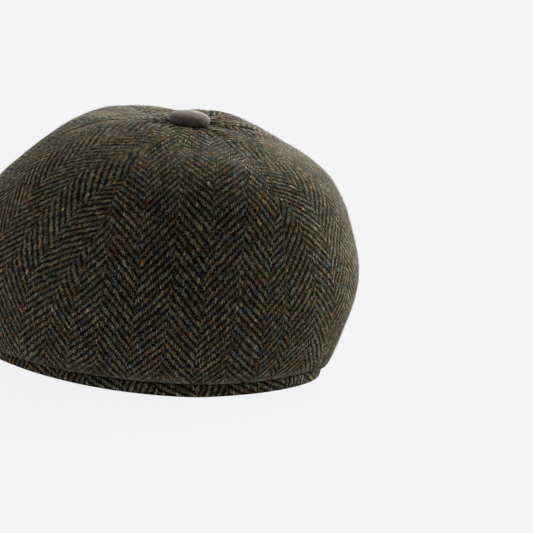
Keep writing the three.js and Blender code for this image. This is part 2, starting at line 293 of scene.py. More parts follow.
# ------------------------------------------------------------------ the cloth's flat pattern
def flatten(points, rounds=900):
    """Lays a grid of 3-D points (rows, cols, 3) flat with its edge lengths kept, mm.
    Returns (rows, cols, 2): x across from the middle column, y from the last row up."""
    rows, cols = points.shape[:2]
    mid = cols // 2
    step = np.linalg.norm(np.diff(points, axis=1), axis=-1)
    across = np.concatenate([np.zeros((rows, 1)), np.cumsum(step, axis=1)], axis=1)
    across -= across[:, mid:mid + 1]
    down = np.concatenate([[0], np.cumsum(np.linalg.norm(np.diff(points[:, mid], axis=0), axis=-1))])
    flat = np.stack([across, np.repeat((down[-1] - down)[:, None], cols, 1)], -1)
    index = np.arange(rows * cols).reshape(rows, cols)
    pairs = np.concatenate([
        np.stack([index[:, :-1].ravel(), index[:, 1:].ravel()], -1),
        np.stack([index[:-1].ravel(), index[1:].ravel()], -1),
        np.stack([index[:-1, :-1].ravel(), index[1:, 1:].ravel()], -1),
        np.stack([index[:-1, 1:].ravel(), index[1:, :-1].ravel()], -1)])
    p3 = points.reshape(-1, 3)
    rest = np.linalg.norm(p3[pairs[:, 0]] - p3[pairs[:, 1]], axis=-1)
    xy = flat.reshape(-1, 2).copy()
    share = np.zeros(len(xy))
    np.add.at(share, pairs.ravel(), 1)
    for _ in range(rounds):
        d = xy[pairs[:, 1]] - xy[pairs[:, 0]]
        length = np.maximum(np.linalg.norm(d, axis=-1), 1e-9)
        move = d * (0.5 * (length - rest) / length)[:, None]
        shift = np.zeros_like(xy)
        np.add.at(shift, pairs[:, 0], move)
        np.add.at(shift, pairs[:, 1], -move)
        xy += shift / share[:, None] * 1.6
    flat = xy.reshape(rows, cols, 2)
    axis = flat[0, mid] - flat[-1, mid]
    turn = math.atan2(axis[0], axis[1])
    c, s = math.cos(turn), math.sin(turn)
    flat = flat - flat[-1, mid]
    return np.stack([flat[..., 0] * c - flat[..., 1] * s, flat[..., 0] * s + flat[..., 1] * c], -1)


def regrid(coarse, coarse_rows, coarse_cols, rows, cols):
    """A coarse grid of values read at finer row and column positions."""
    by_row = np.stack([[np.interp(rows, coarse_rows, coarse[:, j, k]) for j in range(coarse.shape[1])] for k in range(coarse.shape[2])], -1)
    by_row = np.transpose(by_row, (1, 0, 2))  # (fine rows, coarse cols, k)
    return np.stack([[np.interp(cols, coarse_cols, by_row[i, :, k]) for i in range(len(rows))] for k in range(coarse.shape[2])], -1)


# ------------------------------------------------------------------ crown gores
GORE_NAMES = {
    -3: "front_left", -2: "side_left", -1: "back_left", 0: "back_right", 1: "side_right", 2: "front_right",
}
# where each gore was cut from its cloth: shift across and along, mm, turn, degrees, and skew
CUT = {
    -3: (5.0, 3.0, 2, 0.0), -2: (-24.9, 1.5, 6, -0.17), -1: (-8.3, 0.0, 0, -0.09), 0: (11.7, 2.0, -6, 0.17), 1: (3.0, 1.0, -3, 0.0),
    2: (-4.0, 6.0, 0, 0.0),
}
APEX = np.array([CROWN_LEVELS[0, 5], 0.0, CROWN_LEVELS[0, 1]])

edge_steps = np.array([0, .0035, .007, .0115, .017, .024, .033, .045, .06, .08, .105])
inside = np.linspace(.105, .895, 45)[1:-1]
SHARES = np.concatenate([edge_steps, inside, 1 - edge_steps[::-1]])
RUNS = np.concatenate([
    np.linspace(0.018, 0.10, 16)[:-1], np.linspace(0.10, 0.90, 84)[:-1],
    np.linspace(0.90, 0.985, 18)[:-1], np.linspace(0.985, 1.0, 6)])


# where the soft crown has sunk or been pushed out: run, degrees round, reach of each, mm
SETTLED = [
    (0.38, -141, 0.14, 24, -1.7), (0.27, -153, 0.06, 14, -0.7), (0.21, 146, 0.05, 13, -1.5), (0.14, 121, 0.055, 26, 2.3),
    (0.26, 81, 0.06, 16, -1.4), (0.38, 57, 0.06, 15, 0.8), (0.66, 50, 0.10, 18, 0.7), (0.49, 55, 0.06, 16, 1.0), (0.855, 43, 0.05, 24, -1.0),
    (0.23, -170, 0.05, 16, 0.6),
]


# how deep each seam has sunk at the top, mm, from centre front round by the wearer's left
CREASE = (0.5, 1.6, 0.2, 0.2, 1.7, 0.5)


def settled(run, angle):
    total = np.zeros_like(run)
    degrees = np.degrees(angle)
    for at, turn, along, round_, amount in SETTLED:
        gap = (degrees - turn + 180) % 360 - 180
        total += amount * bell(run, at, along) * bell(gap, 0, round_)
    return total


def gore(index):
    a0 = SEAM_TURN + index * 2 * math.pi / GORES
    a1 = a0 + 2 * math.pi / GORES
    run, share = np.meshgrid(RUNS, SHARES, indexing="ij")
    angle = a0 + (a1 - a0) * share
    e = 1e-3
    per_radian = np.linalg.norm(crown_smooth(run, angle + e)[0] - crown_smooth(run, angle - e)[0], axis=-1) / (2 * e)
    # neighbouring gores keep a hair's breadth between them along the seam
    seam_gap = 0.06 / per_radian
    angle = np.clip(angle, a0 + seam_gap, a1 - seam_gap)
    point, puff = crown_smooth(run, angle)
    normal = crown_normal(run, angle)
    width = per_radian * (a1 - a0)
    seam = np.minimum(share, 1 - share) * width
    fullness = 1 - np.abs(2 * share - 1) ** 2.2
    radius = np.linalg.norm(point[..., :2] - APEX[:2], axis=-1)
    lift = puff * (0.45 * fullness - 0.25)
    # the cloth turns down into each seam, deeper where six seams meet
    near = np.exp(-(radius / 26) ** 2)
    crease = np.where(share < 0.5, CREASE[index + 3], CREASE[(index + 4) % GORES])
    lift -= crease * (0.2 + near) * np.exp(-(seam / (0.6 + 0.5 * near)) ** 2)
    # the button is drawn down into the top, most on the back
    lift -= 1.5 * bell(radius, 0, 12.5) * (0.55 + 0.45 * np.cos(angle))
    # soft, uneven body of the wool
    settle = np.clip(radius / 30, 0, 1) * np.clip((1 - run) / 0.12, 0, 1)
    lift += settle * (0.75 * wave(point, 62, 11) + 0.28 * wave(point, 24, 12))
    lift += settled(run, angle)
    # puckers run out from the button, and the top's edge is crushed
    spin = angle * 15 + 1.7 * np.sin(angle * 4 + 0.6) + 0.02 * radius
    lift += 0.34 * np.sin(spin) * bell(radius, 17, 9) + 0.4 * wave(point, 11, 14) * bell(radius, 30, 16)
    # the fullness is eased into the hem in small shallow gathers
    easing = np.exp(-((1 - run) / 0.05) ** 2) * np.clip((1 - run) / 0.02, 0, 1)
    lift += easing * 0.35 * wave(point * np.array([1, 1, 0.15]), 17, 13)
    outer = point + normal * lift[..., None]
    inner = point + normal * (np.minimum(lift, 0.25) - CLOTH)[..., None]
    # behind the right ear the fullness hangs over the band
    hang = 3.8 * bell(run, 0.955, 0.033) * bell((np.degrees(angle) - 54 + 180) % 360 - 180, 0, 24)
    outer[..., 2] -= hang
    inner[..., 2] -= hang * 0.6
    # hem turned in onto the band
    hem_a = angle[-1]
    hem_z = hem_height(hem_a)
    turned = []
    for inset, drop in ((0.85, 0.28), (1.5, 0.36)):
        r = rim_point(hem_a, inset)
        turned.append(np.concatenate([r, (hem_z - drop)[:, None]], -1))
    outer = np.concatenate([outer, np.array(turned)])
    tuck = []
    for inset, rise in ((2.0, 1.9), (2.1, 1.0)):
        r = rim_point(hem_a, inset)
        tuck.append(np.concatenate([r, (hem_z + rise)[:, None]], -1))
    inner[-1] = 0.5 * (inner[-1] + inner[-2])
    inner = np.concatenate([inner, np.array(tuck)])
    # flat pattern
    coarse_runs, coarse_shares = np.linspace(0.018, 1, 35), np.linspace(0, 1, 15)
    cr, cs = np.meshgrid(coarse_runs, coarse_shares, indexing="ij")
    flat = flatten(crown_smooth(cr, a0 + (a1 - a0) * cs)[0])
    uv = regrid(flat, coarse_runs, coarse_shares, RUNS, SHARES)
    uv = np.concatenate([uv, uv[-1:] - [0, 0.9], uv[-1:] - [0, 1.6]])
    across, along, turn, skew = CUT[index]
    c, s = math.cos(math.radians(turn)), math.sin(math.radians(turn))
    uv = np.stack([uv[..., 0] * c - uv[..., 1] * s + across, uv[..., 0] * s + uv[..., 1] * c + skew * uv[..., 0] + along], -1)
    edge = np.stack([seam, (1 - run) * 150], -1)
    edge = np.concatenate([edge, edge[-1:], edge[-1:]])
    name = "tweed_" + GORE_NAMES[index]
    placed = to_rest(outer)
    free = np.zeros(placed.shape[:2])
    free[:len(RUNS)] = (run > 0.13) & (run < 0.95) & (seam > 3.0) & (placed[:len(RUNS), :, 2] > 7)
    loose = hairs(placed, uv, free, 3600, 40 + index)
    return shell(name, placed, to_rest(inner), uv, edge, loose=loose)


gores = {}
for k in range(-3, 3):
    piece = gore(k)
    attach(piece, "root")
    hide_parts("crown_gore_" + GORE_NAMES[k])
    gores[k] = piece


# ------------------------------------------------------------------ band
BIAS = (math.cos(math.radians(24)), math.sin(math.radians(24)))


def band():
    n = 420
    angle = np.linspace(0, 2 * math.pi, n, endpoint=False)
    top = hem_height(angle) - 0.42
    # inset from the rim's outline and share of the height, round the section
    profile = [
        (0.9, 1.0), (0.35, 0.97), (0.02, 0.88), (-0.18, 0.72), (-0.28, 0.52), (-0.22, 0.32), (0.0, 0.16),
        (0.38, 0.05), (0.9, 0.0), (1.5, -0.02), (2.1, 0.0), (2.6, 0.06), (2.95, 0.2), (3.0, 0.45), (3.0, 0.7), (2.9, 0.92), (2.5, 1.0), (1.7, 1.0),
    ]
    sections = []
    rim = to_rest(np.concatenate([rim_point(angle, 0), np.zeros((n, 1))], -1))
    swell = wave(rim, 34, 21) * 0.18 + wave(rim, 9, 22) * 0.11 + wave(rim, 3.2, 23) * 0.05
    for inset, share in profile:
        r = rim_point(angle, 0)
        out = unit(np.stack([-np.cos(angle) / RIM_HALF_LENGTH, np.sin(angle) / RIM_HALF_WIDTH], -1))
        side = 1.0 if inset < 1.5 else 0.0
        r = r - out * (inset - swell * side)[:, None]
        z = share * top + np.where(share < 0.1, swell * 0.5 * np.clip((1.5 + np.cos(angle)) / 1.5 - 0.4, 0, 1), 0)
        sections.append(np.concatenate([r, z[:, None]], -1))
    sections = to_rest(np.array(sections).transpose(1, 0, 2))
    round_rim = np.concatenate([[0], np.cumsum(np.linalg.norm(np.diff(np.vstack([rim, rim[:1]]), axis=0), axis=-1))])
    closed = np.concatenate([sections, sections[:, :1]], axis=1)
    round_section = np.concatenate([[0], np.cumsum(np.linalg.norm(np.diff(closed, axis=1), axis=-1).mean(0))])
    uv = np.stack(np.meshgrid(round_rim, round_section, indexing="ij"), -1)
    # cut a little off the straight, so its floats lean
    uv = np.stack([uv[..., 0] * BIAS[0] - uv[..., 1] * BIAS[1], uv[..., 0] * BIAS[1] + uv[..., 1] * BIAS[0]], -1)
    return ring_loft("tweed_band", sections, uv)


band_piece = band()
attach(band_piece, "root")
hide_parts("band")


# ------------------------------------------------------------------ peak
def peak_point(share, out, slope, depth):
    angle = math.pi + PEAK_HALF_SPAN * share
    root = rim_point(angle, PEAK_TUCK)
    normal = unit(np.stack([-np.cos(angle) / RIM_HALF_LENGTH, np.sin(angle) / RIM_HALF_WIDTH], -1))
    away = unit(normal * 0.65 + np.array([0.35, 0]))
    reach = smooth_table(PEAK_OUTLINE, np.abs(share))[..., 0] * out
    fall = reach * math.tan(slope) * (0.86 + 0.14 * out)
    xy = root + away * reach[..., None]
    return np.concatenate([xy, (-GAP - fall - depth)[..., None]], -1)


def peak_lowest(slope):
    share = np.linspace(-1, 1, 29)
    share = np.sign(share) * np.abs(share) ** 0.82
    lowest = 1e9
    for out, depth in ((1.0, 0.5), (0.99, 0.8), (0.955, 1.0)):
        p = peak_point(share, np.full_like(share, out), slope, np.full_like(share, depth * PEAK_THICKNESS))
        up = p[..., 0] * math.sin(REST_TILT) + p[..., 2] * math.cos(REST_TILT) + LIFT
        lowest = min(lowest, up.min())
    return lowest


low, high = math.radians(10), math.radians(60)
for _ in range(40):
    middle = (low + high) / 2
    if peak_lowest(middle) > -REST_FLAT:
        low = middle
    else:
        high = middle
PEAK_SLOPE = (low + high) / 2


def peak():
    n = 181
    share = np.linspace(-1, 1, n)
    share = np.sign(share) * np.abs(share) ** 0.82
    outs = np.linspace(0, 0.93, 40)
    nose = [(0.955, 0.03), (0.972, 0.09), (0.985, 0.17), (0.993, 0.27), (0.996, 0.37), (0.9945, 0.44), (0.9935, 0.48),
            (0.9945, 0.52), (0.996, 0.6), (0.993, 0.7), (0.985, 0.8), (0.972, 0.89), (0.955, 0.96)]
    loop = [(o, 0.0) for o in outs] + nose + [(o, 1.0) for o in outs[::-1]]
    sections = []
    for out, depth in loop:
        p = peak_point(share, np.full_like(share, out), PEAK_SLOPE, np.full_like(share, depth * PEAK_THICKNESS))
        if depth == 0.0:
            p[:, 2] += (0.22 * wave(p, 38, 31) + 0.3 * math.sin(math.pi * min(out / 0.93, 1))) * min(out * 8, 1)
            # its sewn-in edge stands up against the band
            p[:, 2] += 0.17 * math.exp(-(out * 48 / 1.0) ** 2)
        sections.append(p)
    sections = np.array(sections).transpose(1, 0, 2)
    placed = to_rest(sections)
    closed = np.concatenate([sections, sections[:, :1]], axis=1)
    along = np.concatenate([np.zeros((n, 1)), np.cumsum(np.linalg.norm(np.diff(closed, axis=1), axis=-1), axis=1)], axis=1)
    # straight grain runs from front to back, so the cloth is read from above
    uv = np.zeros((n, len(loop) + 1, 2))
    stretch = 1 / math.cos(PEAK_SLOPE)
    top = len(outs) + 6
    uv[..., 0] = closed[..., 1] + np.where(np.arange(len(loop) + 1) > top, 4.0, 0.0)
    uv[..., 1] = (closed[..., 0] - 60) * stretch
    uv[:, top + 1:, 1] += 3.0
    return ring_loft("tweed_peak", placed, uv, cap_ends=True, ring=False)


peak_piece = peak()
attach(peak_piece, "root")
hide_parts("peak")


# ------------------------------------------------------------------ button
def button():
    profile = np.array([
        (0.0, -1.1), (0.35, -1.1), (0.62, -1.1), (0.80, -1.05), (0.88, -0.95), (0.935, -0.75), (0.968, -0.45), (0.987, -0.05), (0.996, 0.4), (1.0, 0.8), (0.998, 1.2), (0.986, 1.62),
        (0.962, 2.02), (0.926, 2.42), (0.875, 2.82), (0.81, 3.18), (0.735, 3.48), (0.65, 3.74), (0.55, 3.97), (0.45, 4.14), (0.34, 4.28), (0.23, 4.38), (0.12, 4.44), (0.0, 4.46)])
    n = 96
    a = np.linspace(0, 2 * math.pi, n, endpoint=False)
    points, faces, uvs = [], [], []
    ids = []
    lean = BUTTON_LEAN

    def place(x, y, z):
        return np.stack([APEX[0] + x * math.cos(lean) - z * math.sin(lean), y,
                         APEX[2] + GAP + 0.1 + x * math.sin(lean) + z * math.cos(lean)], -1)
    for r, z in profile:
        if r == 0:
            ids.append([len(points)] * n)
            points.append(place(0.0, 0.0, z))
            continue
        # cloth pulled over the mould: faint gathers low down, a barely uneven dome
        gather = 0.10 * np.sin(a * 17 + 0.7 * np.sin(a * 5)) * math.exp(-((z - 0.7) / 0.7) ** 2)
        uneven = 1 + 0.006 * np.sin(2 * a + 0.8) + 0.004 * np.sin(3 * a + 2.0)
        x = (r * BUTTON_RADIUS * uneven + gather) * np.cos(a)
        y = (r * BUTTON_RADIUS * uneven + gather) * np.sin(a)
        zz = z + 0.06 * np.sin(2 * a + 1.1) * (1 - r) + np.zeros(n)
        ids.append(list(range(len(points), len(points) + n)))
        points.extend(place(x, y, zz))
    points = to_rest(np.array(points))
    for i in range(len(ids) - 1):
        for k in range(n):
            m = (k + 1) % n
            q = [ids[i][k], ids[i][m], ids[i + 1][m], ids[i + 1][k]]
            faces.append(list(dict.fromkeys(q)))
    p = points
    volume = sum(float(np.dot(p[f[0]], np.cross(p[f[1]], p[f[2]]))) for f in faces)
    if volume < 0:
        faces = [f[::-1] for f in faces]
    centre = points.mean(0)
    uvs = [np.array([[p[v][0] - centre[0], p[v][1] - centre[1]] for v in f]) for f in faces]
    return new_object("button_cover", points, faces, uvs)


button_piece = button()
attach(button_piece, "root")
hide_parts("button")


# ------------------------------------------------------------------ materials
def linear(r, g, b):
    return tuple(((c / 255) / 12.92 if c / 255 <= 0.04045 else ((c / 255 + 0.055) / 1.055) ** 2.4) for c in (r, g, b)) + (1.0,)


class Nodes:
    """Short calls for building a node tree."""

    def __init__(self, tree):
        self.tree = tree

    def add(self, kind, inputs=None, **settings):
        node = self.tree.nodes.new(kind)
        for key, value in settings.items():
            setattr(node, key, value)
        for key, value in (inputs or {}).items():
            self.put(node.inputs[key], value)
        return node

    def put(self, socket, value):
        if isinstance(value, bpy.types.NodeSocket):
            self.tree.links.new(value, socket)
        else:
            socket.default_value = value

    def math(self, operation, a, b=0.0, c=None, clamp=False):
        inputs = {0: a, 1: b}
        if c is not None:
            inputs[2] = c
        node = self.add("ShaderNodeMath", inputs, operation=operation, use_clamp=clamp)
        return node.outputs[0]

    def mix(self, factor, a, b, blend="MIX"):
        node = self.add("ShaderNodeMix", data_type="RGBA", blend_type=blend)
        self.put(node.inputs["Factor"], factor)
        self.put([s for s in node.inputs if s.name == "A" and s.type == "RGBA"][0], a)
        self.put([s for s in node.inputs if s.name == "B" and s.type == "RGBA"][0], b)
        return [s for s in node.outputs if s.type == "RGBA"][0]

    def mixf(self, factor, a, b):
        node = self.add("ShaderNodeMix", data_type="FLOAT")
        self.put(node.inputs["Factor"], factor)
        self.put([s for s in node.inputs if s.name == "A" and s.type == "VALUE"][0], a)
        self.put([s for s in node.inputs if s.name == "B" and s.type == "VALUE"][0], b)
        return [s for s in node.outputs if s.type == "VALUE"][0]

    def vector(self, x, y, z=0.0):
        return self.add("ShaderNodeCombineXYZ", {0: x, 1: y, 2: z}).outputs[0]

    def noise(self, vector, scale, detail=2.0, roughness=0.5):
        return self.add("ShaderNodeTexNoise", {"Vector": vector, "Scale": scale, "Detail": detail, "Roughness": roughness})

    def ramp(self, factor, stops, interpolation="LINEAR"):
        node = self.add("ShaderNodeValToRGB", {"Fac": factor})
        ramp = node.color_ramp
        ramp.interpolation = interpolation
        while len(ramp.elements) < len(stops):
            ramp.elements.new(0.5)
        for element, (position, colour) in zip(ramp.elements, stops):
            element.position = position
            element.color = colour
        return node.outputs["Color"]


END_PITCH = 0.96       # warp yarns across the cloth, mm
PICK_PITCH = 1.05      # weft yarns along it, mm
ENDS = 16              # warp yarns in one herringbone row, so a row is 15.4 mm wide

# shades of the two heather yarns
LIGHT_YARN = [
    (0.00, linear(108, 70, 44)), (0.12, linear(114, 84, 54)), (0.22, linear(98, 90, 66)), (0.34, linear(92, 91, 70)),
    (0.46, linear(108, 99, 66)), (0.56, linear(82, 90, 76)), (0.66, linear(106, 92, 70)), (0.76, linear(66, 90, 90)),
    (0.88, linear(112, 106, 86)), (1.00, linear(134, 118, 96)),
]
DARK_YARN = [
    (0.00, linear(15, 9, 6)), (0.35, linear(6, 6, 5)), (0.60, linear(4, 5, 5)), (0.80, linear(6, 12, 14)), (1.00, linear(18, 16, 12)),
]


def tweed_material(name, gored=False):
    material = bpy.data.materials.new(name)
    material.use_nodes = True
    tree = material.node_tree
    tree.nodes.clear()
    g = Nodes(tree)
    uv = g.add("ShaderNodeUVMap", uv_map="weave").outputs[0]
    split = g.add("ShaderNodeSeparateXYZ", {0: uv})
    u, v = split.outputs[0], split.outputs[1]
    # distance from the hem up the cloth, where the piece has one
    along = g.add("ShaderNodeSeparateXYZ", {0: g.add("ShaderNodeUVMap", uv_map="edge").outputs[0]})
    rise = along.outputs[1]
    # the crown's top edge is crushed in patches: its yarns wander more, and it is paled there, partly brushed-up nap,
    # partly a painted sheen where the top edge catches the light
    crush_and_sheen = g.math("DIVIDE", g.math("SUBTRACT", rise, 119.0), 11.0)
    crush_and_sheen = g.math("EXPONENT", g.math("MULTIPLY", g.math("MULTIPLY", crush_and_sheen, crush_and_sheen), -1.0))
    crush_and_sheen = g.math("MULTIPLY", crush_and_sheen, g.math("MULTIPLY", g.math("SUBTRACT", g.noise(uv, 0.10, 3.0, 0.65).outputs[0], 0.40), 4.5, clamp=True), clamp=True)
    # the yarns wander a little, as hand and steam leave them
    wander = g.add("ShaderNodeSeparateColor", {0: g.noise(uv, 0.05, 1.0).outputs["Color"]})
    ripple = g.add("ShaderNodeSeparateColor", {0: g.noise(uv, 0.26, 1.0).outputs["Color"]})
    fine = g.add("ShaderNodeSeparateColor", {0: g.noise(uv, 0.95, 1.0).outputs["Color"]})
    ripple_size = g.math("ADD", g.math("MULTIPLY", crush_and_sheen, 3.4), 1.0)

    def moved(value, k):
        value = g.math("ADD", value, g.math("MULTIPLY", g.math("SUBTRACT", wander.outputs[k], 0.5), 1.6))
        value = g.math("ADD", value, g.math("MULTIPLY", g.math("SUBTRACT", ripple.outputs[k], 0.5), ripple_size))
        return g.math("ADD", value, g.math("MULTIPLY", g.math("SUBTRACT", fine.outputs[k], 0.5), 1.1))
    u = moved(u, 0)
    v = moved(v, 1)
    x = g.math("DIVIDE", g.math("ADD", u, 100 * END_PITCH * ENDS), END_PITCH)
    y = g.math("DIVIDE", g.math("ADD", v, 1000 * PICK_PITCH), PICK_PITCH)
    end = g.math("FLOOR", x)
    fx = g.math("SUBTRACT", x, end)
    row = g.math("FLOOR", g.math("DIVIDE", g.math("ADD", end, 0.5), ENDS))
    odd = g.math("MODULO", row, 2.0)
    local = g.math("SUBTRACT", end, g.math("MULTIPLY", row, ENDS))
    # the twill turns back at each row's edge and breaks there by two picks
    k = g.mixf(odd, local, g.math("SUBTRACT", ENDS + 1.0, local))
    kf = g.mixf(odd, g.math("ADD", local, fx), g.math("SUBTRACT", ENDS + 2.0, g.math("ADD", local, fx)))
    # 2/2 twill: two picks over, two under, stepping one pick for each end
    pick = g.math("FLOOR", y)
    fy = g.math("SUBTRACT", y, pick)
    lap_near = g.math("FLOOR", g.math("DIVIDE", g.math("SUBTRACT", y, k), 4.0))
    slip = g.add("ShaderNodeTexWhiteNoise", {"Vector": g.vector(end, lap_near, 8.3)}, noise_dimensions="3D")
    slip_split = g.add("ShaderNodeSeparateColor", {0: slip.outputs["Color"]})
    phase = g.math("SUBTRACT", g.math("FLOORED_MODULO", g.math("SUBTRACT", y, k), 4.0),
                   g.math("MULTIPLY", slip_split.outputs[0], 0.5))
    lap = lap_near
    length = g.math("ADD", g.math("MULTIPLY", slip_split.outputs[1], 0.7), 2.05)
    warp_arch = g.math("SINE", g.math("MULTIPLY", g.math("DIVIDE", phase, length), math.pi))
    warp = g.math("MULTIPLY", g.math("LESS_THAN", phase, length), g.math("GREATER_THAN", phase, 0.0))
    weft_phase = g.math("FLOORED_MODULO", g.math("SUBTRACT", kf, pick), 4.0)
    weft_arch = g.math("SINE", g.math("MULTIPLY", g.math("DIVIDE", g.math("SUBTRACT", weft_phase, 1.0), 2.0), math.pi))

    def yarn_round(f, fill):
        centred = g.math("DIVIDE", g.math("SUBTRACT", g.math("MULTIPLY", f, 2.0), 1.0), fill)
        return g.math("SQRT", g.math("MAXIMUM", g.math("SUBTRACT", 1.0, g.math("MULTIPLY", centred, centred)), 0.0))
    plump = g.math("ADD", g.math("MULTIPLY", slip_split.outputs[2], 0.25), 0.74)
    height_warp = g.math("MULTIPLY", yarn_round(fx, plump), g.math("POWER", g.math("MAXIMUM", warp_arch, 0.001), 0.5))
    height_weft = g.math("MULTIPLY", g.math("MULTIPLY", yarn_round(fy, 0.9), g.math("POWER", g.math("MAXIMUM", weft_arch, 0.001), 0.55)), 0.5)
    height = g.mixf(warp, height_weft, height_warp)

    # heather colour: every float of the light yarn shows its own mix of dyed wool
    own = g.add("ShaderNodeTexWhiteNoise", {"Vector": g.vector(end, lap, 1.7)}, noise_dimensions="3D")
    own_split = g.add("ShaderNodeSeparateColor", {0: own.outputs["Color"]})
    patch = g.noise(uv, 0.16, 3.0, 0.62)
    strand = g.noise(g.vector(g.math("MULTIPLY", end, 5.31), g.math("MULTIPLY", v, 0.30)), 1.0, 2.0, 0.6)
    weft_tone = g.noise(g.vector(g.math("MULTIPLY", pick, 5.77), g.math("MULTIPLY", u, 0.35), 3.7), 1.0, 2.0, 0.6)

    def spread(value, gain):
        return g.math("ADD", g.math("MULTIPLY", g.math("SUBTRACT", value, 0.5), gain), 0.5, clamp=True)
    pick_light = g.math("ADD", g.math("ADD", g.math("MULTIPLY", own_split.outputs[0], 0.36), g.math("MULTIPLY", spread(strand.outputs[0], 2.4), 0.32)),
                        g.math("MULTIPLY", spread(patch.outputs[0], 2.8), 0.32))
    light = g.ramp(spread(pick_light, 1.5), LIGHT_YARN)
    tone = g.noise(uv, 0.35, 3.0, 0.65)
    glow = g.math("MULTIPLY", g.math("ADD", g.math("MULTIPLY", g.math("POWER", own_split.outputs[1], 1.5), 1.05), 0.42),
                  g.math("ADD", spread(tone.outputs[0], 2.6), 0.5))
    dark = g.ramp(spread(weft_tone.outputs[0], 2.6), DARK_YARN)
    # yarn sides and crossings lie in shade
    light_shade = g.math("MULTIPLY", glow, g.math("ADD", g.math("MULTIPLY", height_warp, 0.85), 0.12))
    dark_shade = g.math("ADD", g.math("MULTIPLY", height_weft, 1.0), 0.2)
    grey = g.mixf(warp, dark_shade, light_shade)
    colour = g.mix(1.0, g.mix(warp, dark, light), g.add("ShaderNodeCombineColor", {0: grey, 1: grey, 2: grey}).outputs[0], blend="MULTIPLY")
    # loose fibres lie over both yarns and blur them unevenly
    fibre = g.noise(g.vector(g.math("MULTIPLY", u, 1.0), g.math("MULTIPLY", v, 0.6), 9.0), 1.9, 4.0, 0.7)
    brushed = g.noise(uv, 0.09, 3.0)
    # the crushed top edge adds pale: partly brushed nap, partly painted sheen
    haze = g.math("ADD", g.math("MULTIPLY", spread(brushed.outputs[0], 2.5), 0.16), g.math("ADD", g.math("MULTIPLY", crush_and_sheen, 0.9), 0.02))
    pale = linear(112, 103, 95)
    if gored:
        # a painted highlight: the top of the rolled hem is paled in patches, as if it caught the light
        painted_hem_highlight = g.math("EXPONENT", g.math("MULTIPLY", g.math("MULTIPLY", rise, rise), -1 / 55.0))
        haze = g.math("ADD", haze, g.math("MULTIPLY", painted_hem_highlight, g.math("MULTIPLY", spread(brushed.outputs[0], 3.5), 2.4)))
        pale = g.mix(painted_hem_highlight, pale, linear(86, 97, 92))
    haze = g.math("MULTIPLY", g.math("POWER", fibre.outputs[0], 1.7), haze, clamp=True)
    # the pale haze goes over the cloth: loose fibres, plus the painted sheen on the crushed top edge and the painted
    # highlight on the hem roll
    colour = g.mix(haze, colour, g.mix(0.4, pale, light))
    # single dyed fibres: fine grain in tone and hue
    grain = g.math("ADD", g.math("MULTIPLY", spread(g.noise(g.vector(u, v, 4.0), 1.5, 4.0, 0.8).outputs[0], 4.6), 1.6), 0.2)
    speck = g.add("ShaderNodeSeparateColor", {0: g.noise(g.vector(u, v, 7.0), 1.0, 3.0, 0.7).outputs["Color"]})
    warm = spread(g.noise(uv, 0.14, 3.0, 0.6).outputs[0], 3.0)
    warmth = {0: g.math("ADD", g.math("MULTIPLY", warm, 0.34), 0.84), 1: 1.0, 2: g.math("SUBTRACT", 1.14, g.math("MULTIPLY", warm, 0.34))}
    tints = [g.math("MULTIPLY", g.math("MULTIPLY", grain, warmth[i]), g.math("ADD", g.math("MULTIPLY", spread(speck.outputs[i], 3.0), gain), 1.0 - gain / 2)) for i, gain in ((0, 0.8), (1, 0.25), (2, 0.95))]
    colour = g.mix(1.0, colour, g.add("ShaderNodeCombineColor", {0: tints[0], 1: tints[1], 2: tints[2]}).outputs[0], blend="MULTIPLY")
    # rare bright neps
    nep_cell = g.add("ShaderNodeTexVoronoi", {"Vector": uv, "Scale": 0.06, "Randomness": 1.0})
    nep = g.math("LESS_THAN", nep_cell.outputs["Distance"], 0.022)
    nep_colour = g.ramp(g.add("ShaderNodeSeparateColor", {0: nep_cell.outputs["Color"]}).outputs[0],
                        [(0.0, linear(150, 62, 26)), (0.4, linear(132, 90, 46)), (0.75, linear(84, 108, 108))], "CONSTANT")
    colour = g.mix(g.math("MULTIPLY", nep, 0.7), colour, nep_colour)

    if gored:
        # loose fibres are paler than the cloth under them
        single = g.math("LESS_THAN", along.outputs[0], -1.0)
        colour = g.mix(single, colour, g.mix(0.25, linear(168, 160, 144), light))
        # the seams' edges are rubbed, so light fibres show along them
        seam = g.math("DIVIDE", along.outputs[0], 0.6)
        rubbed = g.math("EXPONENT", g.math("MULTIPLY", g.math("MULTIPLY", seam, seam), -1.0))
        rubbed = g.math("MULTIPLY", rubbed, g.math("MULTIPLY", spread(fibre.outputs[0], 5.0), 0.18))
        colour = g.mix(rubbed, colour, linear(118, 110, 88))

    relief = g.math("ADD", height, g.math("MULTIPLY", fibre.outputs[0], 0.45))
    bump = g.add("ShaderNodeBump", {"Strength": 0.8, "Distance": 0.0003, "Height": relief})
    shader = g.add("ShaderNodeBsdfPrincipled", {
        "Base Color": colour, "Roughness": g.math("ADD", g.math("MULTIPLY", fibre.outputs[0], 0.1), 0.85, clamp=True),
        "Specular IOR Level": 0.01, "Sheen Weight": 0.22, "Sheen Roughness": 0.05, "Sheen Tint": (0.95, 0.9, 0.8, 1.0),
        "Normal": bump.outputs[0]})
    g.add("ShaderNodeOutputMaterial", {"Surface": shader.outputs[0]})
    return material


